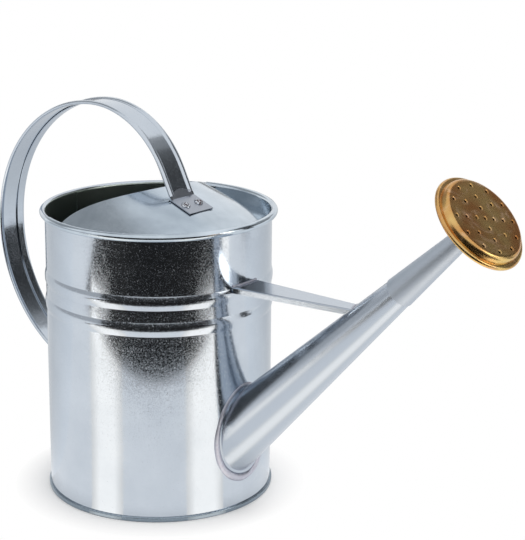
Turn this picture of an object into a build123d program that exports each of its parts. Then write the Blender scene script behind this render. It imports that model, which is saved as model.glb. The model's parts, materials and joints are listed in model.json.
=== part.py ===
"""Galvanised watering can with a strap handle, a half cover, a braced spout and a brass rose.

Millimetres, +Z up, +X towards the spout. The origin is the middle of the base, on the floor.
Each piece is a solid of its own and goes to its own file in parts/.
"""

import math
import os

from build123d import *

# Driving dimensions

body_radius = 100.0
sheet = 0.8
snug = 0.05

# Rim and base

wire_radius = 1.7
wire_snug = 0.1
rim_height = 254.4
rim_curl_turn = 290.0
chime_height = 4.5
chime_overhang = 1.7
chime_round = 1.2
floor_height = 4.2

# Ribs rolled into the wall, measured down from the rim

rib_drops = (80.4, 57.4)
rib_width = 12.5
rib_rise = 1.1

# Side seam, on the inside of the wall behind

seam_width = 7.0
seam_rise = 0.8

# Half cover: a sheet bent along an oblique cone, cut to an arch at the back, a little to one side

cover_sheet = 0.6
cover_sink = 13.0
cover_apex_x = -154.0
cover_apex_rise = 84.2
cover_cut_radius = 124.2
cover_cut_x = -115.1
cover_cut_y = 7.4
cover_hook_turn = 245.0

# Handle: two arcs that run into each other at the top, then a straight front leg

strap_width = 30.0
strap_sheet = 0.9
strap_bead_width = 6.0
strap_bead_thickness = 3.6
strap_hem = 6.2
rear_arc_radius = 128.6
rear_arc_x = -62.3
rear_arc_drop = 40.4
front_arc_radius = 91.9
arc_joint_angle = 95.0
front_leg_turn = 26.8
front_foot_length = 24.0
rear_foot_length = 25.0
hem_stop = 3.0

# Rivets in the front foot

rivet_shank_radius = 1.6
rivet_head_radius = 3.3
rivet_head_height = 1.2
rivet_head_taper = 30.0
rivet_tail_radius = 2.64
rivet_tail_height = 1.0
rivet_tail_taper = 20.0
rivet_spacing = 16.6
rivet_along_foot = 12.0

# Spout: distances are measured along its axis from the outside of the wall

spout_angle = 44.0
spout_root_height = 74.4
spout_root_radius = 27.2
spout_tip_radius = 10.12
spout_length = 258.0
spout_flange = 1.6
solder_width = 2.4
solder_rise = 0.7

# Brace between the wall and the top of the spout

brace_from_tip = 82.5
brace_rise = 2.5
brace_root_half_width = 16.2
brace_tip_half_width = 8.0
brace_depth = 5.2
brace_fold_radius = 1.2
brace_solder_height = 2.2
brace_solder_depth = 2.0

# Rose: a tapered socket, a dished back and a perforated face hemmed over it

socket_sheet = 0.7
socket_snug = 0.06
socket_overlap = 36.0
rose_neck_length = 51.0
rose_back_depth = 10.8
rose_face_depth = 7.5
rose_sheet = 0.8
rose_hem_middle = 40.1
rose_hem_radius = 2.0
rose_hem_turn = 200.0
rose_side_draft = 1.4
rose_shoulder_round = 4.0
rose_hole_radius = 1.15
rose_dimple_radius = 1.9
rose_dimple_angle = 110.0
rose_hole_turn = -18.6
rose_hole_margin = 6.3
rose_hole_rings = 3
rose_holes_per_ring = 4
rose_ring_steps = 2.9

# Sizes that follow

wall_inside = body_radius - sheet
curl_inside = wire_radius + wire_snug
curl_outside = curl_inside + sheet
rim_radius = body_radius + curl_inside
rim_middle = (rim_radius, rim_height)
skirt_outside = wall_inside - snug
skirt_inside = skirt_outside - cover_sheet
everything = 4 * rim_height
rib_heights = [rim_height - drop for drop in rib_drops]


def on_wall(thickness):
    """A sheet of that thickness around the whole wall, to cut a piece on the wall from."""
    Cylinder(body_radius + snug + thickness, everything)
    Cylinder(body_radius + snug, everything, mode=Mode.SUBTRACT)


def clear_ribs():
    """Cuts away what reaches into the ribs of the wall."""
    for middle in rib_heights:
        with Locations((0, 0, middle)):
            Cylinder(body_radius + rib_rise + snug, rib_width + 2 * snug, mode=Mode.SUBTRACT)


def ring_section(middle, inside, outside, start, turn):
    """Part of a flat ring in the current sketch, from the start angle through the turn."""
    with BuildLine() as outline:
        far_arc = CenterArc(middle, outside, start, turn)
        near_arc = CenterArc(middle, inside, start, turn)
        Line(far_arc @ 0, near_arc @ 0)
        Line(far_arc @ 1, near_arc @ 1)
    make_face(outline.edges())


# Spout axis, and a sketch plane whose x is the radius and whose y runs along the axis

spout_tilt = math.radians(spout_angle)
spout_start = (body_radius, 0, spout_root_height)
spout_direction = (math.cos(spout_tilt), 0, math.sin(spout_tilt))
spout_axis = Axis(spout_start, spout_direction)
spout_across = (spout_direction[2], 0, -spout_direction[0])
spout_side = Plane(origin=spout_start, x_dir=(0, 1, 0), z_dir=spout_across)
spout_taper = (spout_root_radius - spout_tip_radius) / spout_length
root_reach = -2.0 * spout_root_radius


def spout_radius(distance):
    """Outside radius of the spout at a distance along its axis."""
    return spout_root_radius - spout_taper * distance


def spout_cone(start, end, extra, mode=Mode.ADD):
    """A solid cone on the spout's axis, that much wider than the spout."""
    with BuildSketch(spout_side) as half_section:
        with BuildLine():
            Polyline(
                (0, start),
                (spout_radius(start) + extra, start),
                (spout_radius(end) + extra, end),
                (0, end),
                close=True,
            )
        make_face()
    revolve(half_section.sketch, axis=spout_axis, mode=mode)


# Body shell: wall with ribs, bottom flange, rim curl, side seam and the hole for the spout

flange_bottom = sheet + snug
flange_radius = body_radius + chime_overhang - sheet - 2 * snug


def wall_line(radius):
    """One face of the wall from the bottom flange to the rim, with its ribs."""
    height = flange_bottom
    for middle in rib_heights:
        rib_start = (radius, middle - rib_width / 2)
        rib_end = (radius, middle + rib_width / 2)
        Line((radius, height), rib_start)
        ThreePointArc(rib_start, (radius + rib_rise, middle), rib_end)
        height = rib_end[1]
    Line((radius, height), (radius, rim_height))


with BuildPart() as body_shell:
    with BuildSketch(Plane.XZ) as wall_section:
        with BuildLine():
            wall_line(body_radius)
            wall_line(wall_inside)
            Line((wall_inside, flange_bottom), (body_radius, flange_bottom))
            Line((wall_inside, rim_height), (body_radius, rim_height))
        make_face()
        with Locations((wall_inside, flange_bottom)):
            Rectangle(flange_radius - wall_inside, sheet, align=Align.MIN)
        ring_section(rim_middle, curl_inside, curl_outside, 180, -rim_curl_turn)
    revolve(axis=Axis.Z)
    seam_height = rim_height - floor_height - 2 * sheet
    with Locations((-wall_inside + seam_rise / 2, 0, floor_height + 2 * sheet + seam_height / 2)):
        Box(2 * seam_rise, seam_width, seam_height)
    spout_cone(root_reach, -root_reach, -sheet - snug, mode=Mode.SUBTRACT)
body_shell.part.label = "body_shell"

# Base: floor panel, skirt inside the wall, and the chime hooked around the bottom flange

chime_radius = body_radius + chime_overhang

with BuildPart() as base_disc:
    with BuildSketch(Plane.XZ) as base_section:
        with Locations((0, floor_height)):
            Rectangle(skirt_outside, sheet, align=Align.MIN)
        with Locations((skirt_outside - sheet, 0)):
            Rectangle(sheet, floor_height + sheet, align=Align.MIN)
            Rectangle(chime_radius - skirt_outside + sheet, sheet, align=Align.MIN)
        with Locations((chime_radius - sheet, 0)):
            Rectangle(sheet, chime_height, align=Align.MIN)
        with Locations((body_radius + snug, chime_height - sheet)):
            Rectangle(chime_overhang - snug, sheet, align=Align.MIN)
        fillet(base_section.vertices().group_by(Axis.X)[-1], chime_round)
    revolve(axis=Axis.Z)
base_disc.part.label = "base_disc"

# Wire inside the rim curl

with BuildPart() as rim_wire:
    with Locations((0, 0, rim_height)):
        Torus(rim_radius, wire_radius)
rim_wire.part.label = "rim_wire"

# Half cover: bent sheet, skirt against the wall, and a hook rolled over the rim curl

cover_edge_height = rim_height - cover_sink
cover_edge_radius = skirt_outside - cover_sheet / 2
cover_drop = cover_sink + cover_apex_rise
cover_slope = cover_drop / (cover_edge_radius - cover_apex_x)
cover_slope_angle = math.degrees(math.atan(cover_slope))
cover_sheet_upright = cover_sheet / math.cos(math.radians(cover_slope_angle))
cover_loft_part = 0.5
backward = (-1, 0, 0)
back_section = Plane(origin=(0, 0, 0), x_dir=backward, z_dir=(0, 1, 0))


def cover_cone(drop, mode=Mode.ADD):
    """The oblique cone under the cover's top face, lowered by the drop."""
    low_height = cover_edge_height - drop
    high_height = low_height + cover_loft_part * cover_drop
    with BuildSketch(Plane(origin=(0, 0, low_height), x_dir=backward)) as low_ring:
        Circle(cover_edge_radius)
    with BuildSketch(Plane(origin=(0, 0, high_height), x_dir=backward)) as high_ring:
        with Locations((-cover_loft_part * cover_apex_x, 0)):
            Circle((1 - cover_loft_part) * cover_edge_radius)
    loft((low_ring.sketch, high_ring.sketch), ruled=True, mode=mode)


def cover_height(x):
    """Height of the cover's top face along its middle line."""
    return cover_edge_height + cover_slope * (cover_edge_radius - x)


# Handle line in the XZ plane: two arcs, then a straight front leg down to its foot on the cover

joint_turn = math.radians(arc_joint_angle)
rear_arc_middle = Vector(rear_arc_x, 0, rim_height - rear_arc_drop)
joint_way = Vector(math.cos(joint_turn), 0, math.sin(joint_turn))
front_arc_middle = rear_arc_middle + (rear_arc_radius - front_arc_radius) * joint_way

leg_turn = math.radians(front_leg_turn)
leg_top = front_arc_middle + front_arc_radius * Vector(math.cos(leg_turn), 0, math.sin(leg_turn))
leg_down = Vector(math.sin(leg_turn), 0, -math.cos(leg_turn))

foot_tilt = math.radians(cover_slope_angle)
foot_forward = Vector(math.cos(foot_tilt), 0, -math.sin(foot_tilt))
foot_up = Vector(math.sin(foot_tilt), 0, math.cos(foot_tilt))
foot_line = Vector(0, 0, cover_height(0)) + (snug + strap_sheet / 2) * foot_up

leg_length = (foot_line - leg_top).dot(foot_up) / leg_down.dot(foot_up)
front_bend = leg_top + leg_length * leg_down
hem_end = front_bend - hem_stop * leg_down
foot_end = front_bend + front_foot_length * foot_forward

rivet_middle = front_bend + rivet_along_foot * foot_forward
rivet_plane = Plane(origin=rivet_middle, x_dir=foot_forward, z_dir=foot_up)
rivet_places = ((0, -rivet_spacing / 2), (0, rivet_spacing / 2))
rivet_hole_depth = 4 * (strap_sheet + cover_sheet)


def rivet_holes():
    """Round holes for the two rivets."""
    with BuildSketch(rivet_plane.offset(-rivet_hole_depth / 2)) as hole_rings:
        with Locations(*rivet_places):
            Circle(rivet_shank_radius + snug)
    extrude(hole_rings.sketch, amount=rivet_hole_depth, mode=Mode.SUBTRACT)


with BuildPart() as cover:
    cover_cone(0)
    cover_cone(cover_sheet_upright, mode=Mode.SUBTRACT)
    with BuildSketch(back_section):
        with Locations((skirt_inside, cover_edge_height - cover_sheet)):
            Rectangle(cover_sheet, rim_height - cover_edge_height + cover_sheet, align=Align.MIN)
        hook_inside = curl_outside + snug
        ring_section(rim_middle, hook_inside, hook_inside + cover_sheet, 180, -cover_hook_turn)
    revolve(axis=Axis.Z)
    with Locations((cover_cut_x, cover_cut_y, cover_edge_height)):
        Cylinder(cover_cut_radius, everything, mode=Mode.SUBTRACT)
    rivet_holes()
cover.part.label = "cover"

# Handle strap: hemmed loop with a foot riveted to the cover and a foot soldered to the wall

rear_end_x = -body_radius - hem_stop
rear_end_turn = 360 - math.degrees(math.acos((rear_end_x - rear_arc_x) / rear_arc_radius))

with BuildLine(Plane.XZ) as loop_line:
    Line(hem_end, leg_top)
    CenterArc(front_arc_middle, front_arc_radius, front_leg_turn, arc_joint_angle - front_leg_turn)
    CenterArc(rear_arc_middle, rear_arc_radius, arc_joint_angle, rear_end_turn - arc_joint_angle)

loop = loop_line.wires()[0]
rear_end = loop @ 1
rear_way = loop % 1
rear_drop = rear_way.Z / rear_way.X
rear_bend_height = rear_end.Z + hem_stop * rear_drop
rear_trim_height = 2.5 * rear_bend_height
rear_plate_end = rear_end + 2 * hem_stop * Vector(1, 0, rear_drop)


def in_section(point):
    """The sketch coordinates of a point of the XZ plane."""
    return (point.X, point.Z)


with BuildPart() as rear_foot:
    on_wall(strap_sheet)
    with Locations((-body_radius, 0, rear_bend_height - rear_foot_length / 2)):
        Box(body_radius, strap_width, rear_foot_length, mode=Mode.INTERSECT)

with BuildPart() as handle_strap:
    bead_place = (strap_width - strap_bead_width) / 2
    hem_place = bead_place - strap_hem / 2
    hem_depth = (strap_bead_thickness - strap_sheet) / 2
    with BuildSketch(Plane(loop @ 0, x_dir=(0, 1, 0), z_dir=loop % 0)):
        Rectangle(2 * bead_place, strap_sheet)
        with Locations((-bead_place, 0), (bead_place, 0)):
            Ellipse(strap_bead_width / 2, strap_bead_thickness / 2)
        with Locations((-hem_place, hem_depth), (hem_place, hem_depth)):
            Rectangle(strap_hem, strap_sheet)
    sweep(path=loop)
    with BuildSketch(Plane.XZ):
        with BuildLine():
            Polyline(in_section(hem_end), in_section(front_bend), in_section(foot_end))
            Line(in_section(rear_end), in_section(rear_plate_end))
        trace(line_width=strap_sheet)
        with Locations(in_section(front_bend)):
            Circle(strap_sheet / 2)
    extrude(amount=strap_width / 2, both=True)
    add(rear_foot.part)
    Cylinder(body_radius + snug, rear_trim_height, mode=Mode.SUBTRACT)
    rivet_holes()
handle_strap.part.label = "handle_strap"

# Rivets through the front foot and the cover

cover_fall = (rivet_spacing / 2) ** 2 / (2 * body_radius)
rivet_grip = strap_sheet / 2 + snug + cover_sheet + cover_fall

with BuildPart() as front_foot_rivets:
    for start, radius, height, narrowing in (
        (-rivet_grip, rivet_shank_radius, rivet_grip + strap_sheet / 2, 0),
        (strap_sheet / 2, rivet_head_radius, rivet_head_height, rivet_head_taper),
        (-rivet_grip, rivet_tail_radius, -rivet_tail_height, rivet_tail_taper),
    ):
        with BuildSketch(rivet_plane.offset(start)):
            with Locations(*rivet_places):
                Circle(radius)
        extrude(amount=height, taper=narrowing)
front_foot_rivets.part.label = "front_foot_rivets"

# Solder run around the rear foot

rear_foot_bottom = rear_bend_height - rear_foot_length
rear_solder_height = rear_foot_length - 2 * hem_stop

with BuildPart() as rear_foot_solder:
    on_wall(solder_rise)
    with Locations((-body_radius, 0, rear_foot_bottom - solder_width)):
        Box(
            body_radius,
            strap_width + 2 * solder_width,
            rear_solder_height + solder_width,
            align=(Align.CENTER, Align.CENTER, Align.MIN),
            mode=Mode.INTERSECT,
        )
    with Locations((-body_radius, 0, rear_foot_bottom - snug)):
        Box(
            body_radius,
            strap_width + 2 * snug,
            rear_foot_length,
            align=(Align.CENTER, Align.CENTER, Align.MIN),
            mode=Mode.SUBTRACT,
        )
rear_foot_solder.part.label = "rear_foot_solder"

# Spout tube with a turned flange on the wall

with BuildPart() as spout_collar:
    spout_cone(root_reach, -root_reach, spout_flange)
    Cylinder(body_radius + snug + sheet, everything, mode=Mode.INTERSECT)

with BuildPart() as spout_tube:
    spout_cone(root_reach, spout_length, 0)
    add(spout_collar.part)
    spout_cone(2 * root_reach, spout_length + sheet, -sheet, mode=Mode.SUBTRACT)
    Cylinder(body_radius + snug, everything, mode=Mode.SUBTRACT)
spout_tube.part.label = "spout_tube"

# Solder around the spout flange

with BuildPart() as spout_solder:
    spout_cone(root_reach, -root_reach, spout_flange + solder_width)
    Cylinder(body_radius + snug + solder_rise, everything, mode=Mode.INTERSECT)
    spout_cone(2 * root_reach, -2 * root_reach, spout_flange + snug, mode=Mode.SUBTRACT)
    Cylinder(body_radius + snug, everything, mode=Mode.SUBTRACT)
spout_solder.part.label = "spout_solder"

# Brace: a tapered channel, folded down along both sides and cut to the wall and the spout

brace_meets_spout = spout_length - brace_from_tip
tip_radius = spout_radius(brace_meets_spout)
brace_run = brace_meets_spout * spout_direction[0] - tip_radius * spout_direction[2]
brace_climb = brace_meets_spout * spout_direction[2] + tip_radius * spout_direction[0]
brace_tip_height = spout_root_height + brace_climb
brace_root_height = brace_tip_height - brace_rise
brace_slope = math.atan2(brace_rise, brace_run)
brace_plane = Plane(
    origin=(body_radius, 0, brace_root_height),
    x_dir=(math.cos(brace_slope), 0, math.sin(brace_slope)),
    z_dir=(-math.sin(brace_slope), 0, math.cos(brace_slope)),
)
brace_start = -0.2 * brace_run
brace_end = 1.15 * brace_run


def brace_half_width(along):
    """Half the brace's width at a distance from the wall."""
    return brace_root_half_width - (brace_root_half_width - brace_tip_half_width) * along / brace_run


def brace_outline(inset, drop):
    """The brace's plan, that much narrower on each side, on a plane lowered by the drop."""
    with BuildSketch(brace_plane.offset(-drop)) as plan:
        with BuildLine():
            Polyline(
                (brace_start, brace_half_width(brace_start) - inset),
                (brace_end, brace_half_width(brace_end) - inset),
                (brace_end, inset - brace_half_width(brace_end)),
                (brace_start, inset - brace_half_width(brace_start)),
                close=True,
            )
        make_face()
    return plan.sketch


with BuildPart() as brace:
    extrude(brace_outline(0, 0), amount=-brace_depth)
    fillet(brace.faces().sort_by(Axis.Z)[-1].edges().filter_by(Axis.Y, reverse=True), brace_fold_radius)
    extrude(brace_outline(sheet, sheet), amount=-brace_depth, mode=Mode.SUBTRACT)
    spout_cone(root_reach, spout_length, snug, mode=Mode.SUBTRACT)
    Cylinder(body_radius + snug, everything, mode=Mode.SUBTRACT)
    clear_ribs()
brace.part.label = "brace"

# Solder at both ends of the brace

brace_tip_x = body_radius + brace_run

with BuildPart() as brace_root_solder:
    on_wall(brace_solder_depth)
    with Locations((body_radius, 0, brace_root_height + snug)):
        Box(
            body_radius,
            2 * brace_root_half_width,
            brace_solder_height,
            align=(Align.CENTER, Align.CENTER, Align.MIN),
            mode=Mode.INTERSECT,
        )
    clear_ribs()

with BuildPart() as brace_tip_solder:
    spout_cone(root_reach, spout_length, snug + brace_solder_depth)
    spout_cone(2 * root_reach, spout_length + sheet, snug, mode=Mode.SUBTRACT)
    with Locations((brace_tip_x, 0, brace_tip_height + 2 * snug)):
        Box(
            brace_run / 2,
            2 * brace_tip_half_width,
            brace_solder_height,
            align=(Align.CENTER, Align.CENTER, Align.MIN),
            mode=Mode.INTERSECT,
        )

with BuildPart() as brace_solder:
    add(brace_root_solder.part)
    add(brace_tip_solder.part)
brace_solder.part.label = "brace_solder"

# Rose socket: a sleeve with the spout's own taper

socket_outside = socket_snug + socket_sheet
socket_mouth = spout_length - socket_overlap
rose_back_distance = spout_length + rose_neck_length
socket_end = rose_back_distance + 2 * rose_sheet

with BuildPart() as rose_socket:
    spout_cone(socket_mouth, socket_end, socket_outside)
    spout_cone(socket_mouth - sheet, socket_end + sheet, socket_snug, mode=Mode.SUBTRACT)
rose_socket.part.label = "rose_socket"

# Rose back: a shallow dish around the socket, with a rolled edge inside the hem

rose_hem_distance = rose_back_distance + rose_back_depth
hem_middle_point = (rose_hem_middle, rose_hem_distance)
hem_inside = rose_hem_radius - rose_sheet
back_hole_radius = spout_radius(rose_back_distance) + socket_outside + snug

with BuildPart() as rose_back:
    with BuildSketch(spout_side):
        with BuildLine():
            Polyline(
                (back_hole_radius, rose_back_distance),
                (rose_hem_middle, rose_hem_distance - rose_sheet / 2),
                (rose_hem_middle, rose_hem_distance + rose_sheet / 2),
                (back_hole_radius, rose_back_distance + rose_sheet),
                close=True,
            )
        make_face()
        with Locations(hem_middle_point):
            Circle(hem_inside - snug)
    revolve(axis=spout_axis)
rose_back.part.label = "rose_back"

# Rose face: perforated front, rounded shoulder, side and the hem around the back

ledge = rose_hem_distance + rose_hem_radius
rose_front = rose_hem_distance + rose_face_depth
rose_middle = spout_axis.position + rose_front * spout_axis.direction
rose_plane = Plane(rose_middle, x_dir=(0, 1, 0), z_dir=spout_direction)
rose_side_radius = rose_hem_middle - rose_hem_radius
rose_face_radius = rose_side_radius - rose_side_draft
outer_ring_radius = rose_face_radius - rose_hole_margin
ring_step = outer_ring_radius / rose_ring_steps

with BuildPart() as rose_face:
    with BuildSketch(spout_side) as face_section:
        with BuildLine():
            Polyline(
                (0, rose_front),
                (rose_face_radius, rose_front),
                (rose_side_radius, ledge),
                (rose_hem_middle, ledge),
                (rose_hem_middle, ledge - rose_sheet),
                (rose_side_radius - rose_sheet, ledge - rose_sheet),
                (rose_face_radius - rose_sheet, rose_front - rose_sheet),
                (0, rose_front - rose_sheet),
                close=True,
            )
        make_face()
        outer_corner = face_section.vertices().sort_by_distance((rose_face_radius, rose_front))[0]
        fillet(outer_corner, rose_shoulder_round)
        inner_corner_place = (rose_face_radius - rose_sheet, rose_front - rose_sheet)
        inner_corner = face_section.vertices().sort_by_distance(inner_corner_place)[0]
        fillet(inner_corner, rose_shoulder_round - rose_sheet)
        ring_section(hem_middle_point, hem_inside, rose_hem_radius, 90, -rose_hem_turn)
    revolve(axis=spout_axis)
    punch = (rose_hole_radius, rose_dimple_radius, 2 * rose_sheet, rose_dimple_angle)
    with Locations(rose_plane):
        CounterSinkHole(*punch)
        for ring in range(rose_hole_rings):
            ring_radius = outer_ring_radius - ring * ring_step
            ring_holes = (rose_hole_rings - ring) * rose_holes_per_ring
            with PolarLocations(ring_radius, ring_holes, start_angle=rose_hole_turn):
                CounterSinkHole(*punch)
rose_face.part.label = "rose_face"

# One file for each piece

pieces = (
    body_shell,
    base_disc,
    rim_wire,
    cover,
    handle_strap,
    front_foot_rivets,
    rear_foot_solder,
    spout_tube,
    spout_solder,
    brace,
    brace_solder,
    rose_socket,
    rose_back,
    rose_face,
)
os.makedirs("parts", exist_ok=True)
for piece in pieces:
    export_step(piece.part, f"parts/{piece.part.label}.step")
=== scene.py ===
import json
import math

import bmesh
import bpy
from bpy.props import FloatProperty, FloatVectorProperty, PointerProperty
from mathutils import Matrix, Vector, noise


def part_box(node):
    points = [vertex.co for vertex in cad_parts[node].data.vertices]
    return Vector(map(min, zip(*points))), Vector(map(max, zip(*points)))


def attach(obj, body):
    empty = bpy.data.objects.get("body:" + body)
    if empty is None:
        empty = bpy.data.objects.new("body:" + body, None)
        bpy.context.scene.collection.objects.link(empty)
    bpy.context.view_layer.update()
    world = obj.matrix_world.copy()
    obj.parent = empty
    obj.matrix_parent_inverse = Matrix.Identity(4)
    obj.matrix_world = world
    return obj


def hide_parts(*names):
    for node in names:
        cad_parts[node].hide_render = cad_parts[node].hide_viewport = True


# Galvanised watering can with a brass rose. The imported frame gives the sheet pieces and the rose. This
# script finishes them, models the solder and the rivets, and sets up the studio. Lengths are metres.

bl_info = {
    "name": "Galvanised Watering Can",
    "version": (1, 0, 0),
    "blender": (4, 5, 0),
    "location": "View3D > Sidebar > Can",
    "description": "Finishes, solder, rivets and studio for a galvanised watering can",
    "category": "Object",
}

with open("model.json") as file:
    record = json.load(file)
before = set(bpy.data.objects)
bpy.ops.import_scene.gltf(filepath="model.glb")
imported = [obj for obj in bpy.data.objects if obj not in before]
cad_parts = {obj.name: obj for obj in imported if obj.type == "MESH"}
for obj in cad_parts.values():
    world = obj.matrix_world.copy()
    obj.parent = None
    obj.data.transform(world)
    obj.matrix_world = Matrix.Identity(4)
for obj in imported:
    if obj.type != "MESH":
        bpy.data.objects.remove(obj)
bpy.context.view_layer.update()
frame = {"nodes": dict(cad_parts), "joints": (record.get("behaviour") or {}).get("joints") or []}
nodes = frame["nodes"]
joints = {joint["name"]: joint for joint in frame["joints"]}

MILLIMETRE = 0.001
GRAIN_DEPTH = 0.04 * MILLIMETRE
WELD_DISTANCE = 0.001 * MILLIMETRE

# Places that the frame gives: the spout's axis starts on the outside of the wall

spout_start = Vector(joints["rose_turn"]["pos_m"])
spout_way = Vector(joints["rose_pull"]["axis"]).normalized()
spout_up = Vector((-spout_way.z, 0, spout_way.x))
sideways = Vector((0, 1, 0))
wall_radius = spout_start.x


def linear(hex_colour):
    """An sRGB hex colour as linear red, green and blue."""
    channels = [int(hex_colour[i : i + 2], 16) / 255 for i in (0, 2, 4)]
    return tuple(c / 12.92 if c <= 0.04045 else ((c + 0.055) / 1.055) ** 2.4 for c in channels)


def length_property(name, description, default):
    """A length in metres that shows in the scene's units."""
    return FloatProperty(
        name=name, description=description, default=default, unit="LENGTH", precision=5
    )


def angle_property(name, description, degrees):
    """An angle that is given in degrees."""
    angle = math.radians(degrees)
    return FloatProperty(name=name, description=description, default=angle, subtype="ANGLE")


def colour_property(name, description, hex_colour):
    """A colour that is given as sRGB hex."""
    return FloatVectorProperty(
        name=name, description=description, default=linear(hex_colour), subtype="COLOR", min=0, max=1
    )


class CanFinish(bpy.types.PropertyGroup):
    """Colours and grain of the finishes."""

    zinc_colour: colour_property("Zinc", "Bright hot-dip zinc", "D0D8E1")
    zinc_dull_colour: colour_property("Dull zinc", "Zinc where it has dulled a little", "B7C0CB")
    zinc_wiped_colour: colour_property("Wiped zinc", "Zinc that was wiped clean", "E6F1FB")
    # Dull smudges on the cover, and wear with painted shade on the base chime
    zinc_worn_and_shade_colour: colour_property("Worn zinc", "Zinc dulled by rubbing and damp", "8B98A4")
    # Painted shade: a darker, greener zinc for the inside of the wall
    zinc_inside_shade_colour: colour_property("Zinc inside", "Wetted zinc on the inside of the wall", "A8B3AE")
    zinc_hammered_colour: colour_property("Hammered zinc", "Zinc on the riveted foot", "A2A8B2")
    solder_colour: colour_property("Solder", "Soft solder with a heat tint", "A29AAC")
    brass_colour: colour_property("Brass", "Polished brass", "DEC07E")
    tarnish_colour: colour_property("Tarnish", "Brown tarnish on the brass", "BC7A42")
    smudge_colour: colour_property("Smudges", "Pink smudges on the brass", "E6C4A4")
    # Painted shade on the walls of the rose's holes
    hole_shade_colour: colour_property("Grime", "Dirt that the water leaves in the rose's holes", "2A1C12")
    rust_colour: colour_property("Rust", "Brown spots on the rivets", "62565A")
    grain_size: length_property("Grain", "Width of a grain in the metal", 1.1 * MILLIMETRE)
    streak_size: length_property("Roll marks", "Spacing of the rolling marks", 2.2 * MILLIMETRE)
    patch_size: length_property("Patches", "Width of the dull patches", 45 * MILLIMETRE)
    rubbed_radius: length_property("Rubbed rim", "Where hands keep the rose bright", 34 * MILLIMETRE)


class CanSizes(bpy.types.PropertyGroup):
    """Sizes of the solder runs and rivets, and of the pieces that they lie on."""

    spout_root_radius: length_property("Spout root", "Spout radius at the wall", 27.2 * MILLIMETRE)
    spout_tip_radius: length_property("Spout tip", "Spout radius at its end", 10.12 * MILLIMETRE)
    spout_length: length_property("Spout length", "Length of the spout along its axis", 258 * MILLIMETRE)
    spout_flange: length_property("Flange", "Width of the flange on the wall", 1.6 * MILLIMETRE)
    solder_width: length_property("Solder width", "Width of a solder run", 4.8 * MILLIMETRE)
    solder_rise: length_property("Solder rise", "Height of a solder run", 1.3 * MILLIMETRE)
    brace_rise: length_property("Brace rise", "Rise of the brace to the spout", 2.5 * MILLIMETRE)
    brace_tip_half_width: length_property("Brace tip", "Half its width at the spout", 8 * MILLIMETRE)
    rivet_radius: length_property("Rivet", "Radius of a rivet's collar", 4.2 * MILLIMETRE)
    rivet_head_radius: length_property("Rivet head", "Radius of a CAD head", 3.3 * MILLIMETRE)
    hammered_radius: length_property("Hammered", "Reach of the hammer marks", 19 * MILLIMETRE)
    rivet_rise: length_property("Rivet rise", "Height of a rivet's collar", 1.9 * MILLIMETRE)
    foot_tilt: angle_property("Foot tilt", "Slope of the front foot", 21.03)


class CanStudio(bpy.types.PropertyGroup):
    """Camera and floor."""

    camera_azimuth: angle_property("Azimuth", "Direction from the can to the camera", -47.15)
    camera_distance: length_property("Distance", "Level distance from the can to the camera", 1.4709)
    camera_height: length_property("Height", "Height of the camera", 0.6166)
    camera_pan: angle_property("Pan", "Turn of the camera to the right of the can", 3.582)
    camera_tilt: angle_property("Tilt", "Tilt of the camera below level", 15.873)
    camera_roll: angle_property("Roll", "Roll of the camera", 0.493)
    field_height: angle_property("Field", "Upright angle of view", 17.89)
    floor_radius: length_property("Floor", "Radius of the floor", 12)
    floor_colour: colour_property("Floor colour", "Pale floor", "FCFCFC")


# Helpers for materials


def add_node(tree, kind, inputs=None, **settings):
    """Adds a node with its settings. An input is a value or the socket that it is linked from."""
    node = tree.nodes.new("ShaderNode" + kind)
    for name, value in settings.items():
        setattr(node, name, value)
    for name, value in (inputs or {}).items():
        if isinstance(value, bpy.types.NodeSocket):
            tree.links.new(value, node.inputs[name])
        else:
            node.inputs[name].default_value = value
    return node


def new_material(name):
    """An empty node material and its output node."""
    material = bpy.data.materials.new(name)
    material.use_nodes = True
    tree = material.node_tree
    tree.nodes.clear()
    return material, tree, add_node(tree, "OutputMaterial")


def coloured(colour):
    """A colour property as red, green, blue and alpha."""
    return (*colour, 1)


def nearer_than(tree, place, weights, centre, radius):
    """1 where a place is nearer to a centre than a radius, with each axis weighted, and 0 elsewhere."""
    weighted = add_node(
        tree, "VectorMath", {0: place, 1: weights}, operation="MULTIPLY"
    ).outputs["Vector"]
    distance = add_node(
        tree, "VectorMath", {0: weighted, 1: centre}, operation="DISTANCE"
    ).outputs["Value"]
    return add_node(tree, "Math", {0: distance, 1: radius}, operation="LESS_THAN").outputs["Value"]


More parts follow.
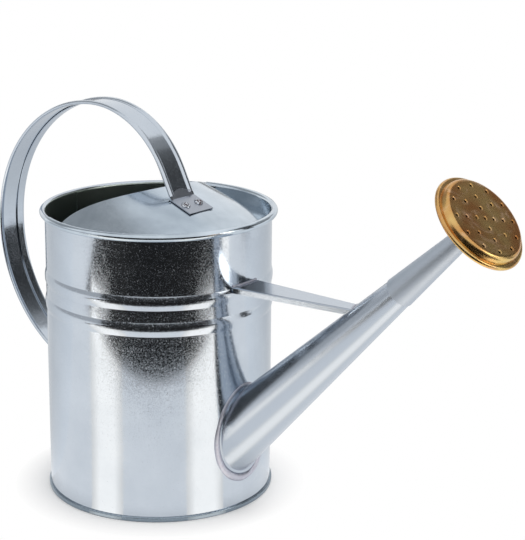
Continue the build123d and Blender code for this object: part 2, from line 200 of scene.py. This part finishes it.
def galvanised_steel(name, finish, colours, gloss, frosting, wear_and_shade_spot=None):
    """Hot-dip galvanised sheet: a blue-grey mirror with rough zinc grains that show as fine specks.

    The real grains are about half as wide. They are drawn coarser so that they show. Gloss is the
    roughness of the smooth zinc, and frosting is how much rougher the grains are. The two colours
    lie in patches. A wear and shade spot is a colour, and the weights, centre and radius of where it
    lies: hammer wear around the rivets, and painted shade on the inside of the wall.
    """
    smooth_below = 0.42
    rough_above = 0.72
    streak_share = 0.12
    streak_stretch = 0.02
    spot_roughness = 0.3
    material, tree, output = new_material(name)
    place = add_node(tree, "TexCoord").outputs["Object"]
    grain = add_node(
        tree, "TexNoise", {"Vector": place, "Scale": 1 / finish.grain_size, "Detail": 2.0}
    ).outputs["Fac"]
    patches = add_node(
        tree, "TexNoise", {"Vector": place, "Scale": 1 / finish.patch_size, "Detail": 3.0}
    ).outputs["Fac"]
    streak_scale = 1 / finish.streak_size
    along_scale = streak_stretch * streak_scale
    streak_place = add_node(
        tree, "Mapping", {"Vector": place, "Scale": (along_scale, along_scale, streak_scale)}
    ).outputs["Vector"]
    streaks = add_node(
        tree, "TexNoise", {"Vector": streak_place, "Scale": 1.0, "Detail": 1.0}
    ).outputs["Fac"]
    bright, dull = colours
    colour = add_node(
        tree, "MixRGB", {0: patches, 1: coloured(bright), 2: coloured(dull)}
    ).outputs["Color"]
    mixed = add_node(tree, "MixRGB", {0: streak_share, 1: grain, 2: streaks}).outputs["Color"]
    roughness = add_node(
        tree,
        "MapRange",
        {
            "Value": mixed,
            "From Min": smooth_below,
            "From Max": rough_above,
            "To Min": gloss,
            "To Max": gloss + frosting,
        },
    ).outputs["Result"]
    if wear_and_shade_spot:
        spot_colour, *where = wear_and_shade_spot
        in_spot = nearer_than(tree, place, *where)
        colour = add_node(
            tree, "MixRGB", {0: in_spot, 1: colour, 2: coloured(spot_colour)}
        ).outputs["Color"]
        dull_roughness = (spot_roughness, spot_roughness, spot_roughness, 1)
        roughness = add_node(
            tree, "MixRGB", {0: in_spot, 1: roughness, 2: dull_roughness}
        ).outputs["Color"]
    bump = add_node(
        tree, "Bump", {"Height": grain, "Strength": 0.25, "Distance": GRAIN_DEPTH}
    ).outputs["Normal"]
    shader = add_node(
        tree,
        "BsdfPrincipled",
        {"Base Color": colour, "Metallic": 1.0, "Roughness": roughness, "Normal": bump},
    )
    tree.links.new(shader.outputs["BSDF"], output.inputs["Surface"])
    return material


def soft_solder(finish):
    """Soft tin solder: a dull, lumpy grey metal with a violet heat tint."""
    lump_width = 2 * finish.grain_size
    lump_depth = 0.25 * MILLIMETRE
    material, tree, output = new_material("soft_solder")
    place = add_node(tree, "TexCoord").outputs["Object"]
    lumps = add_node(
        tree, "TexNoise", {"Vector": place, "Scale": 1 / lump_width, "Detail": 3.0}
    ).outputs["Fac"]
    colour = add_node(
        tree, "MixRGB", {0: lumps, 1: coloured(finish.solder_colour), 2: coloured(finish.zinc_colour)}
    ).outputs["Color"]
    roughness = add_node(
        tree,
        "MapRange",
        {"Value": lumps, "From Min": 0.3, "From Max": 0.7, "To Min": 0.34, "To Max": 0.5},
    ).outputs["Result"]
    bump = add_node(
        tree, "Bump", {"Height": lumps, "Strength": 0.6, "Distance": lump_depth}
    ).outputs["Normal"]
    shader = add_node(
        tree,
        "BsdfPrincipled",
        {"Base Color": colour, "Metallic": 1.0, "Roughness": roughness, "Normal": bump},
    )
    tree.links.new(shader.outputs["BSDF"], output.inputs["Surface"])
    return material


def polished_brass(finish):
    """Spun brass sheet: pale gold where hands rub the rim, brown tarnish on the face, wiping smudges."""
    face_brown = 0.25
    rubbed_edge = 3 * MILLIMETRE
    polish = 0.19
    smudge_roughness = 0.2
    grain_roughness = 0.12
    material, tree, output = new_material("polished_brass")
    coordinates = add_node(tree, "TexCoord").outputs
    place = coordinates["Object"]
    grain = add_node(
        tree, "TexNoise", {"Vector": place, "Scale": 1 / finish.grain_size, "Detail": 2.0}
    ).outputs["Fac"]
    patch_scale = 2 / finish.patch_size
    patches = add_node(
        tree, "TexNoise", {"Vector": place, "Scale": patch_scale, "Detail": 4.0}
    ).outputs["Fac"]
    from_start = add_node(
        tree, "VectorMath", {0: place, 1: tuple(spout_start)}, operation="SUBTRACT"
    ).outputs["Vector"]
    square_to_axis = add_node(
        tree, "VectorMath", {0: from_start, 1: tuple(spout_way)}, operation="CROSS_PRODUCT"
    ).outputs["Vector"]
    axis_distance = add_node(
        tree, "VectorMath", {0: square_to_axis}, operation="LENGTH"
    ).outputs["Value"]
    on_face = add_node(
        tree,
        "MapRange",
        {
            "Value": axis_distance,
            "From Min": finish.rubbed_radius,
            "From Max": finish.rubbed_radius + rubbed_edge,
            "To Min": face_brown,
            "To Max": 0.0,
        },
    ).outputs["Result"]
    tarnish = add_node(
        tree,
        "MapRange",
        {"Value": patches, "From Min": 0.35, "From Max": 0.65, "To Min": 0.0, "To Max": 0.7},
    ).outputs["Result"]
    browned = add_node(tree, "Math", {0: tarnish, 1: on_face}, operation="ADD").outputs["Value"]
    tarnished = add_node(
        tree,
        "MixRGB",
        {0: browned, 1: coloured(finish.brass_colour), 2: coloured(finish.tarnish_colour)},
    ).outputs["Color"]
    wiping = add_node(
        tree, "TexNoise", {"Vector": place, "Scale": patch_scale, "Detail": 3.0, "Distortion": 2.0}
    ).outputs["Fac"]
    smudges = add_node(
        tree, "MapRange", {"Value": wiping, "From Min": 0.53, "From Max": 0.68, "To Max": 0.6}
    ).outputs["Result"]
    smudged = add_node(
        tree, "MixRGB", {0: smudges, 1: tarnished, 2: coloured(finish.smudge_colour)}
    ).outputs["Color"]
    # Painted shade darkens the walls of the holes: inside the rubbed rim, where the sheet faces sideways
    facing = add_node(
        tree, "VectorMath", {0: coordinates["Normal"], 1: tuple(spout_way)}, operation="DOT_PRODUCT"
    ).outputs["Value"]
    along_axis = add_node(tree, "Math", {0: facing}, operation="ABSOLUTE").outputs["Value"]
    facing_sideways = add_node(
        tree, "MapRange", {"Value": along_axis, "From Min": 0.95, "From Max": 0.5}
    ).outputs["Result"]
    inside_rim = add_node(
        tree, "Math", {0: axis_distance, 1: finish.rubbed_radius}, operation="LESS_THAN"
    ).outputs["Value"]
    in_hole = add_node(
        tree, "Math", {0: facing_sideways, 1: inside_rim}, operation="MULTIPLY"
    ).outputs["Value"]
    colour = add_node(
        tree, "MixRGB", {0: in_hole, 1: smudged, 2: coloured(finish.hole_shade_colour)}
    ).outputs["Color"]
    dulled = add_node(
        tree, "Math", {0: smudges, 1: smudge_roughness, 2: polish}, operation="MULTIPLY_ADD"
    ).outputs["Value"]
    roughness = add_node(
        tree, "Math", {0: grain, 1: grain_roughness, 2: dulled}, operation="MULTIPLY_ADD"
    ).outputs["Value"]
    bump = add_node(
        tree, "Bump", {"Height": grain, "Strength": 0.2, "Distance": GRAIN_DEPTH}
    ).outputs["Normal"]
    shader = add_node(
        tree,
        "BsdfPrincipled",
        {"Base Color": colour, "Metallic": 1.0, "Roughness": roughness, "Normal": bump},
    )
    tree.links.new(shader.outputs["BSDF"], output.inputs["Surface"])
    return material


def clinched_steel(finish):
    """Steel rivets that were hammered flat: bright zinc with brown spots where the coating cracked."""
    dent_width = 1.5 * finish.grain_size
    dent_depth = 0.4 * MILLIMETRE
    zinc_roughness = 0.15
    rust_roughness = 0.25
    material, tree, output = new_material("clinched_steel")
    place = add_node(tree, "TexCoord").outputs["Object"]
    dents = add_node(
        tree, "TexNoise", {"Vector": place, "Scale": 1 / dent_width, "Detail": 2.0}
    ).outputs["Fac"]
    spots = add_node(
        tree, "MapRange", {"Value": dents, "From Min": 0.44, "From Max": 0.58}
    ).outputs["Result"]
    colour = add_node(
        tree, "MixRGB", {0: spots, 1: coloured(finish.zinc_colour), 2: coloured(finish.rust_colour)}
    ).outputs["Color"]
    roughness = add_node(
        tree, "Math", {0: spots, 1: rust_roughness, 2: zinc_roughness}, operation="MULTIPLY_ADD"
    ).outputs["Value"]
    bump = add_node(
        tree, "Bump", {"Height": dents, "Strength": 0.8, "Distance": dent_depth}
    ).outputs["Normal"]
    shader = add_node(
        tree,
        "BsdfPrincipled",
        {"Base Color": colour, "Metallic": 1.0, "Roughness": roughness, "Normal": bump},
    )
    tree.links.new(shader.outputs["BSDF"], output.inputs["Surface"])
    return material


def dress(node_names, material):
    """Gives CAD nodes a material."""
    for name in node_names:
        mesh = nodes[name].data
        mesh.materials.clear()
        mesh.materials.append(material)


# Helpers for pieces


def finished_object(name, mesh_builder, material):
    """Makes an object from a bmesh, smooth shaded, and links it to the scene."""
    mesh = bpy.data.meshes.new(name)
    bmesh.ops.recalc_face_normals(mesh_builder, faces=mesh_builder.faces)
    for face in mesh_builder.faces:
        face.smooth = True
    mesh_builder.to_mesh(mesh)
    mesh_builder.free()
    mesh.materials.append(material)
    piece = bpy.data.objects.new(name, mesh)
    bpy.context.scene.collection.objects.link(piece)
    return piece


def solder_run(name, line, steps, width, rise, closed, material):
    """A lumpy bead of solder along a line on a surface.

    line(part) gives a point, its outward way and how much heavier the run is there. A run that isn't
    closed thins out at its ends.
    """
    around = 12
    unevenness = 0.35
    end_sharpness = 8
    lump_length = 3 * width
    nudge = 0.25 / steps
    builder = bmesh.new()
    bmesh.ops.create_grid(builder, x_segments=steps, y_segments=around, size=0.5)
    for vertex in builder.verts:
        part = vertex.co.x + 0.5
        turn = math.tau * (vertex.co.y + 0.5)
        point, outward, heavier = line(part)
        along = line(part + nudge)[0] - line(part - nudge)[0]
        across = outward.cross(along).normalized()
        lump = heavier * (1 + unevenness * noise.noise(point / lump_length))
        fade = 1 if closed else math.sqrt(max(0, 1 - (2 * part - 1) ** end_sharpness))
        vertex.co = (
            point
            + across * (0.5 * width * lump * fade * math.cos(turn))
            + outward * (rise * lump * fade * math.sin(turn))
        )
    bmesh.ops.remove_doubles(builder, verts=builder.verts, dist=WELD_DISTANCE)
    piece = finished_object(name, builder, material)
    return piece


def on_wall(across, height):
    """A point on the front of the wall and its outward way."""
    point = Vector((math.sqrt(wall_radius**2 - across**2), across, height))
    return point, Vector((point.x, point.y, 0)).normalized()


def spout_radius(sizes, distance):
    """Outside radius of the spout at a distance along its axis."""
    taper = (sizes.spout_root_radius - sizes.spout_tip_radius) / sizes.spout_length
    return sizes.spout_root_radius - taper * distance


def settings(context):
    """The three property groups of this scene."""
    scene = context.scene
    return scene.can_finish, scene.can_sizes, scene.can_studio


class CAN_OT_galvanised_sheet(bpy.types.Operator):
    """Finishes the sheet pieces in galvanised steel"""

    bl_idname = "can.galvanised_sheet"
    bl_label = "Galvanised Sheet"

    def execute(self, context):
        finish, sizes, _ = settings(context)
        clean = (finish.zinc_colour, finish.zinc_dull_colour)
        dulled = (finish.zinc_dull_colour, finish.zinc_dull_colour)
        # Darker zinc on the base chime: wear, and painted shade in place of the shadowed floor that it
        # mirrors
        worn_and_shaded = (finish.zinc_worn_and_shade_colour, finish.zinc_worn_and_shade_colour)
        clouded = (finish.zinc_wiped_colour, finish.zinc_worn_and_shade_colour)
        sheet_inset = 0.4 * MILLIMETRE
        inside_radius = wall_radius - sheet_inset
        # Painted shade inside the can: the inside of the wall gets a darker, greener zinc
        inside_shade = (finish.zinc_inside_shade_colour, (1, 1, 0), (0, 0, 0), inside_radius)
        rivets_middle = sum(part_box("front_foot_rivets"), Vector()) / 2
        hammered = (
            finish.zinc_hammered_colour,
            (1, 1, 1),
            tuple(rivets_middle),
            sizes.hammered_radius,
        )
        # Each piece's finish: its name, two colours, gloss, frosting and spot of wear and painted shade
        finishes = {
            "body_shell": ("galvanised_wall", clean, 0.085, 0.21, inside_shade),
            "handle_strap": ("galvanised_strap", clean, 0.1, 0.15, hammered),
            "rim_wire": ("galvanised_wire", clean, 0.1, 0.15, None),
            "cover": ("galvanised_cover", clouded, 0.1, 0.15, None),
            "spout_tube": ("galvanised_spout", dulled, 0.24, 0.03, None),
            "rose_socket": ("galvanised_socket", dulled, 0.42, 0.1, None),
            "brace": ("galvanised_brace", dulled, 0.14, 0.1, None),
            "base_disc": ("galvanised_chime", worn_and_shaded, 0.2, 0.15, None),
        }
        for node, (name, colours, gloss, frosting, wear_and_shade_spot) in finishes.items():
            zinc = galvanised_steel(name, finish, colours, gloss, frosting, wear_and_shade_spot)
            dress((node,), zinc)
        return {"FINISHED"}


class CAN_OT_brass_rose(bpy.types.Operator):
    """Finishes the rose in brass"""

    bl_idname = "can.brass_rose"
    bl_label = "Brass Rose"

    def execute(self, context):
        finish, _, _ = settings(context)
        dress(("rose_back", "rose_face"), polished_brass(finish))
        return {"FINISHED"}


class CAN_OT_solder_runs(bpy.types.Operator):
    """Models the solder around the spout flange, the brace ends and the rear foot"""

    bl_idname = "can.solder_runs"
    bl_label = "Solder Runs"

    def execute(self, context):
        finish, sizes, _ = settings(context)
        solder = soft_solder(finish)
        width = sizes.solder_width
        rise = sizes.solder_rise
        sag = 0.3
        spread = 0.35

        def around_flange(part):
            # A line along a slightly larger spout meets the wall at the root of a quadratic
            turn = math.tau * part
            heavier = 1 - sag * math.cos(turn)
            grown = sizes.spout_flange + spread * heavier * width
            radius = spout_radius(sizes, 0) + grown
            taper = spout_radius(sizes, 0) - spout_radius(sizes, 1)
            level = spout_start.x + radius * math.cos(turn) * spout_up.x
            level_step = spout_way.x - taper * math.cos(turn) * spout_up.x
            side = radius * math.sin(turn)
            side_step = -taper * math.sin(turn)
            square = level_step**2 + side_step**2
            half = level * level_step + side * side_step
            rest = level**2 + side**2 - wall_radius**2
            distance = (math.sqrt(half**2 - square * rest) - half) / square
            offset = (radius - taper * distance) * (
                math.cos(turn) * spout_up + math.sin(turn) * sideways
            )
            point = spout_start + distance * spout_way + offset
            return point, Vector((point.x, point.y, 0)).normalized(), heavier

        spout_bead = solder_run(
            "spout_solder_run",
            around_flange,
            steps=160,
            width=width,
            rise=rise,
            closed=True,
            material=solder,
        )
        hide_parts("spout_solder")

        brace_low, brace_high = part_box("brace_solder")
        root_height = brace_low.z + 0.1 * width
        root_half_width = brace_high.y

        def along_brace_root(part):
            across = 2 * part - 1
            return *on_wall(across * root_half_width, root_height), 1 + across**6

        thin = 0.4 * width
        root_bead = solder_run(
            "brace_root_solder",
            along_brace_root,
            steps=60,
            width=thin,
            rise=rise,
            closed=False,
            material=solder,
        )

        tip_height = brace_low.z + sizes.brace_rise + 0.2 * width
        brace_reach = 0.7 * sizes.spout_length
        half_turn = math.asin(sizes.brace_tip_half_width / spout_radius(sizes, brace_reach))

        def along_brace_tip(part):
            turn = (2 * part - 1) * half_turn
            way = math.cos(turn) * spout_up + math.sin(turn) * sideways
            taper = spout_radius(sizes, 0) - spout_radius(sizes, 1)
            climb = spout_way.z - taper * way.z
            distance = (tip_height - spout_start.z - spout_radius(sizes, 0) * way.z) / climb
            point = spout_start + distance * spout_way + spout_radius(sizes, distance) * way
            return point, way, 1

        tip_bead = solder_run(
            "brace_tip_solder",
            along_brace_tip,
            steps=40,
            width=thin,
            rise=rise,
            closed=False,
            material=solder,
        )
        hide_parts("brace_solder")
        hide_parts("brace_solder")

        foot_low, foot_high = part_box("rear_foot_solder")
        flip = Vector((-1, 1, 1))
        half_width = foot_high.y - width / 2
        bottom = foot_low.z + width / 2
        side_length = foot_high.z - bottom
        whole = 2 * side_length + 2 * half_width

        def around_rear_foot(part):
            run = part * whole - side_length - half_width
            across = max(-half_width, min(half_width, run))
            height = bottom + max(0, abs(run) - half_width)
            point, outward = on_wall(across, height)
            return point * flip, outward * flip, 1

        rear_bead = solder_run(
            "rear_foot_solder_run",
            around_rear_foot,
            steps=120,
            width=width,
            rise=rise,
            closed=False,
            material=solder,
        )
        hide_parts("rear_foot_solder")
        for bead in (spout_bead, root_bead, tip_bead, rear_bead):
            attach(bead, "can")
        return {"FINISHED"}


class CAN_OT_foot_rivets(bpy.types.Operator):
    """Models the two clinched rivets in the front foot"""

    bl_idname = "can.foot_rivets"
    bl_label = "Foot Rivets"

    def execute(self, context):
        finish, sizes, _ = settings(context)
        low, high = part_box("front_foot_rivets")
        middle = (low + high) / 2
        spacing = high.y - low.y - 2 * sizes.rivet_head_radius
        radius = sizes.rivet_radius
        rise = sizes.rivet_rise
        lift = 0.3 * MILLIMETRE
        dent_width = 0.4 * radius
        dent_depth = 0.5 * rise
        steel = clinched_steel(finish)
        # Half a section from the dished middle over the collar to below the sheet
        profile = (
            (0, 0.35 * rise),
            (0.25 * radius, 0.3 * rise),
            (0.45 * radius, 0.75 * rise),
            (0.65 * radius, rise),
            (0.88 * radius, 0.75 * rise),
            (radius, 0),
            (0.9 * radius, -0.6 * rise),
        )
        builder = bmesh.new()
        for side in (-1, 1):
            corners = [builder.verts.new((x, 0, z)) for x, z in profile]
            lines = [builder.edges.new(pair) for pair in zip(corners, corners[1:])]
            bmesh.ops.spin(
                builder, geom=corners + lines, axis=(0, 0, 1), angle=math.tau, steps=32, use_merge=True
            )
            ring = {vertex for face in builder.faces for vertex in face.verts if not vertex.tag}
            tilt = Matrix.Rotation(sizes.foot_tilt, 4, "Y")
            place = Matrix.Translation(middle + Vector((0, side * spacing / 2, lift)))
            own_dents = Vector((7 * side, 0, 0))
            for vertex in ring:
                dent = noise.noise(vertex.co / dent_width + own_dents)
                vertex.co.z += dent_depth * dent
                vertex.co = place @ tilt @ vertex.co
                vertex.tag = True
        bmesh.ops.remove_doubles(builder, verts=builder.verts, dist=WELD_DISTANCE)
        piece = finished_object("clinched_rivets", builder, steel)
        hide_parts("front_foot_rivets")
        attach(piece, "can")
        return {"FINISHED"}


# Studio


def shown_to_eye(tree):
    """A factor that is 1 where the camera, a mirror or glass looks, and 0 for light on the object."""
    path = add_node(tree, "LightPath").outputs
    eye = add_node(
        tree, "Math", {0: path["Is Camera Ray"], 1: path["Is Glossy Ray"]}, operation="MAXIMUM"
    ).outputs["Value"]
    return add_node(
        tree, "Math", {0: eye, 1: path["Is Transmission Ray"]}, operation="MAXIMUM"
    ).outputs["Value"]


def pale_floor(studio):
    """Pale matt floor that reads as white, with a light shadow around the can's foot."""
    shadow_radius = 1.33 * wall_radius
    foot_white = 0.2
    material, tree, output = new_material("pale_floor")
    place = add_node(tree, "TexCoord").outputs["Object"]
    axis_distance = add_node(tree, "VectorMath", {0: place}, operation="LENGTH").outputs["Value"]
    white_share = add_node(
        tree,
        "MapRange",
        {
            "Value": axis_distance,
            "From Min": wall_radius,
            "From Max": shadow_radius,
            "To Min": foot_white,
            "To Max": 1.0,
        },
    ).outputs["Result"]
    matt = add_node(tree, "BsdfDiffuse", {"Color": coloured(studio.floor_colour)}).outputs["BSDF"]
    white = add_node(tree, "Emission", {"Color": (1, 1, 1, 1), "Strength": 1.0}).outputs["Emission"]
    share = add_node(
        tree, "Math", {0: shown_to_eye(tree), 1: white_share}, operation="MULTIPLY"
    ).outputs["Value"]
    mixed = add_node(tree, "MixShader", {0: share, 1: matt, 2: white})
    tree.links.new(mixed.outputs["Shader"], output.inputs["Surface"])
    return material


def card_finish(name, colour, level):
    """An even card of one brightness."""
    return shaded_card_finish(name, colour, (0, 1), (level, level))


def shaded_card_finish(name, colour, azimuths, levels):
    """A card whose brightness runs from one level to another between two azimuths."""
    start, end = azimuths
    start_level, end_level = levels
    material, tree, output = new_material(name)
    place = add_node(tree, "TexCoord").outputs["Object"]
    middle = (start + end) / 2
    turned = add_node(tree, "Mapping", {"Vector": place, "Rotation": (0, 0, -middle)}).outputs["Vector"]
    turn = add_node(tree, "TexGradient", {"Vector": turned}, gradient_type="RADIAL").outputs["Fac"]
    half = (end - start) / 2 / math.tau
    level = add_node(
        tree,
        "MapRange",
        {
            "Value": turn,
            "From Min": 0.5 - half,
            "From Max": 0.5 + half,
            "To Min": start_level,
            "To Max": end_level,
        },
    ).outputs["Result"]
    glow = add_node(tree, "Emission", {"Color": colour, "Strength": level})
    tree.links.new(glow.outputs["Emission"], output.inputs["Surface"])
    return material


def reflecting_card(name, edge, start, end, finish, centre):
    """A card that only reflections see: an edge swept around a centre between two azimuths."""
    builder = bmesh.new()
    ends = [builder.verts.new((radius, 0, height)) for radius, height in edge]
    line = builder.edges.new(ends)
    bmesh.ops.rotate(builder, verts=ends, matrix=Matrix.Rotation(start, 3, "Z"))
    bmesh.ops.spin(builder, geom=ends + [line], axis=(0, 0, 1), angle=end - start, steps=48)
    bmesh.ops.translate(builder, verts=builder.verts, vec=centre)
    hide_from_light(finished_object(name, builder, finish))


def bright_strip(name, front, sides, height, finish):
    """A card on the floor that the wall shows as an upright bright band between two sides.

    A side is a wall azimuth and the distances from the wall at which the card starts and ends there.
    A wall point mirrors the floor along a line at twice its own azimuth from the camera.
    """
    builder = bmesh.new()
    corners = []
    for azimuth, start, end in sides:
        turn = math.radians(azimuth)
        foot = wall_radius * Vector((math.cos(front + turn), math.sin(front + turn), 0))
        way = Vector((math.cos(front + 2 * turn), math.sin(front + 2 * turn), 0))
        corners.append([foot + reach * way + Vector((0, 0, height)) for reach in (start, end)])
    outline = corners[0] + corners[1][::-1]
    builder.faces.new([builder.verts.new(corner) for corner in outline])
    hide_from_light(finished_object(name, builder, finish))


def hide_from_light(card):
    """Leaves a card to reflections alone."""
    card.visible_camera = False
    card.visible_diffuse = False
    card.visible_shadow = False
    card.visible_transmission = False


class CAN_OT_studio(bpy.types.Operator):
    """Sets up the camera, the floor, the lights and the reflecting cards"""

    bl_idname = "can.studio"
    bl_label = "Studio"

    def execute(self, context):
        _, _, studio = settings(context)
        scene = context.scene
        front = studio.camera_azimuth

        builder = bmesh.new()
        bmesh.ops.create_circle(builder, cap_ends=True, segments=96, radius=studio.floor_radius)
        floor = finished_object("floor", builder, pale_floor(studio))

        screen_radius = 2.6
        far = 3 * screen_radius
        mat_height = 0.6 * MILLIMETRE

        cool_white = (0.96, 0.98, 1, 1)
        warm_white = (1, 0.945, 0.875, 1)

        # A card's azimuths are degrees around the can from the camera's direction, and a screen's
        # elevations are degrees above the floor. Levels are the brightness at the two ends of a card,
        # or of the part of it that is shaded.

        def card(name, edge, azimuths, levels, shading=None, centre=Vector(), colour=cool_white):
            start, end = (front + math.radians(azimuth) for azimuth in azimuths)
            shades = [front + math.radians(azimuth) for azimuth in shading or azimuths]
            finish = shaded_card_finish(name, colour, shades, levels)
            reflecting_card(name, edge, start, end, finish, centre)

        def screen(name, azimuths, elevations, levels, shading=None, colour=cool_white):
            edge = [
                (screen_radius, screen_radius * math.tan(math.radians(climb)))
                for climb in elevations
            ]
            card(name, edge, azimuths, levels, shading, colour=colour)

        def mat(name, azimuths, radii, height, levels, shading=None):
            card(name, [(radius, height) for radius in radii], azimuths, levels, shading)

        screen("dark_screen", (-58, 51), (0, 18), (0.03, 0.03))
        screen("side_screen", (84, 112), (20, 50), (0.04, 0.15), (94, 112))
        screen("leg_screen", (85, 97), (0, 20), (0.04, 0.04))
        screen("side_band", (97, 133), (14, 20), (0.18, 0.15))
        screen("bright_screen", (57, 74), (15, 24), (5.5, 5.5), colour=warm_white)
        screen("brown_screen", (112, 126), (20, 50), (0.33, 0.33))
        screen("brown_edge", (126, 150), (20, 40), (0.33, 0.33))
        screen("rim_screen", (168, 190), (3, 11), (0.3, 0.3))
        screen("grey_screen", (-125, -58), (0, 18), (0.55, 0.55))
        screen("back_screen", (-160, -105), (24, 72), (0.42, 0.42))
        screen("back_edge", (-202, -160), (45, 72), (1.0, 0.42))

        mat("side_mat", (86, 99), (1.06, far), mat_height, (0.045, 0.045))
        back_radii = (1.02 * wall_radius, far)
        back_height = 0.7 * mat_height
        mat("back_mat_left", (-180, -92), back_radii, back_height, (0.75, 1.0), (-130, -92))
        mat("back_mat_right", (92, 180), back_radii, back_height, (1.0, 0.75), (92, 130))

        dark_radius = 1.26
        dark_height = 2 * mat_height
        dark_edge = [(dark_radius, dark_height), (far, dark_height)]
        dark_centre = Matrix.Rotation(front, 3, "Z") @ Vector((-0.8, 0.06, 0))
        card("dark_mat", dark_edge, (-38.5, 33.5), (0.015, 0.015), centre=dark_centre)

        # Two strips with soft edges, made of layers that are each narrower and brighter than the last
        strip_level = 1.56
        strip_white = card_finish("strip_white", warm_white, strip_level)
        wedge_level = 2.6
        wedge_white = card_finish("wedge_white", warm_white, wedge_level)
        soft_strips = {"strip_left": (-35.5, -21.5), "strip_right": (15, 31)}
        soft_edge = 2.6
        soft_layers = 5
        strip_reach = 0.7
        lowest_layer = 1.4
        layer_step = 0.1
        streak_height = 2.2 * mat_height
        wedge_height = 2.5 * mat_height
        wedges_over_dark = {
            "upper_wedge_left": ((-36, 0.64, 0.73), (-25, 0.64, 0.66)),
            "upper_wedge_right": ((18, 0.64, 0.65), (28.5, 0.64, 0.71)),
            "lower_wedge_left": ((-36, 0.535, 0.6), (-26, 0.535, 0.545)),
            "lower_wedge_right": ((20, 0.535, 0.54), (28.5, 0.535, 0.58)),
        }
        for layer in range(soft_layers):
            share = (layer + 1) / soft_layers
            grown = soft_edge * (1 + 1 / soft_layers - 2 * share)
            finish = card_finish(f"soft_white_{layer}", warm_white, 1 + share * (strip_level - 1))
            layer_height = (lowest_layer + layer_step * layer) * mat_height
            for name, (start, end) in soft_strips.items():
                sides = ((start - grown, 0, strip_reach), (end + grown, 0, strip_reach))
                bright_strip(f"{name}_{layer}", front, sides, layer_height, finish)
        streak_sides = ((33, 0.66, 1.3), (37, 0.66, 1.3))
        bright_strip("streak", front, streak_sides, streak_height, strip_white)
        for name, sides in wedges_over_dark.items():
            bright_strip(name, front, sides, wedge_height, wedge_white)

        world = bpy.data.worlds.new("studio")
        world.use_nodes = True
        tree = world.node_tree
        tree.nodes.clear()
        plain_white = (1, 1, 1, 1)
        room_strength = 0.7
        white = add_node(
            tree, "Background", {"Color": plain_white, "Strength": 1.0}
        ).outputs["Background"]
        room = add_node(
            tree, "Background", {"Color": plain_white, "Strength": room_strength}
        ).outputs["Background"]
        mixed = add_node(
            tree, "MixShader", {0: shown_to_eye(tree), 1: room, 2: white}
        ).outputs["Shader"]
        add_node(tree, "OutputWorld", {"Surface": mixed})
        scene.world = world

        lamp = bpy.data.lights.new("overhead_softbox", "AREA")
        lamp.shape = "DISK"
        lamp.size = 1.6
        lamp.energy = 18
        softbox = bpy.data.objects.new("overhead_softbox", lamp)
        softbox.location = (0.2, 0.3, 2.2)
        softbox.visible_glossy = False
        scene.collection.objects.link(softbox)

        lens = bpy.data.cameras.new("camera")
        lens.sensor_fit = "VERTICAL"
        lens.angle_y = studio.field_height
        lens.clip_end = 50
        camera = bpy.data.objects.new("camera", lens)
        heading = front + math.pi / 2 - studio.camera_pan
        camera.matrix_world = (
            Matrix.Translation(
                (
                    studio.camera_distance * math.cos(front),
                    studio.camera_distance * math.sin(front),
                    studio.camera_height,
                )
            )
            @ Matrix.Rotation(heading, 4, "Z")
            @ Matrix.Rotation(math.pi / 2 - studio.camera_tilt, 4, "X")
            @ Matrix.Rotation(studio.camera_roll, 4, "Z")
        )
        scene.collection.objects.link(camera)
        scene.camera = camera
        scene.view_settings.view_transform = "Standard"
        return {"FINISHED"}


class CAN_PT_sidebar(bpy.types.Panel):
    """Lists the steps of the can's finish"""

    bl_idname = "CAN_PT_sidebar"
    bl_label = "Watering Can"
    bl_space_type = "VIEW_3D"
    bl_region_type = "UI"
    bl_category = "Can"

    def draw(self, context):
        layout = self.layout
        for operator in OPERATORS:
            layout.operator(operator.bl_idname)
        for group in settings(context):
            box = layout.box()
            for name in group.__annotations__:
                box.prop(group, name)


OPERATORS = (
    CAN_OT_galvanised_sheet,
    CAN_OT_brass_rose,
    CAN_OT_solder_runs,
    CAN_OT_foot_rivets,
    CAN_OT_studio,
)
GROUPS = {"can_finish": CanFinish, "can_sizes": CanSizes, "can_studio": CanStudio}


def register():
    for group in GROUPS.values():
        bpy.utils.register_class(group)
    for name, group in GROUPS.items():
        setattr(bpy.types.Scene, name, PointerProperty(type=group))
    for operator in OPERATORS:
        bpy.utils.register_class(operator)
    bpy.utils.register_class(CAN_PT_sidebar)


def unregister():
    bpy.utils.unregister_class(CAN_PT_sidebar)
    for operator in reversed(OPERATORS):
        bpy.utils.unregister_class(operator)
    for name, group in GROUPS.items():
        delattr(bpy.types.Scene, name)
        bpy.utils.unregister_class(group)


def main():
    register()
    bpy.ops.can.galvanised_sheet()
    bpy.ops.can.brass_rose()
    bpy.ops.can.solder_runs()
    bpy.ops.can.foot_rivets()
    bpy.ops.can.studio()


if __name__ == "__main__":
    main()
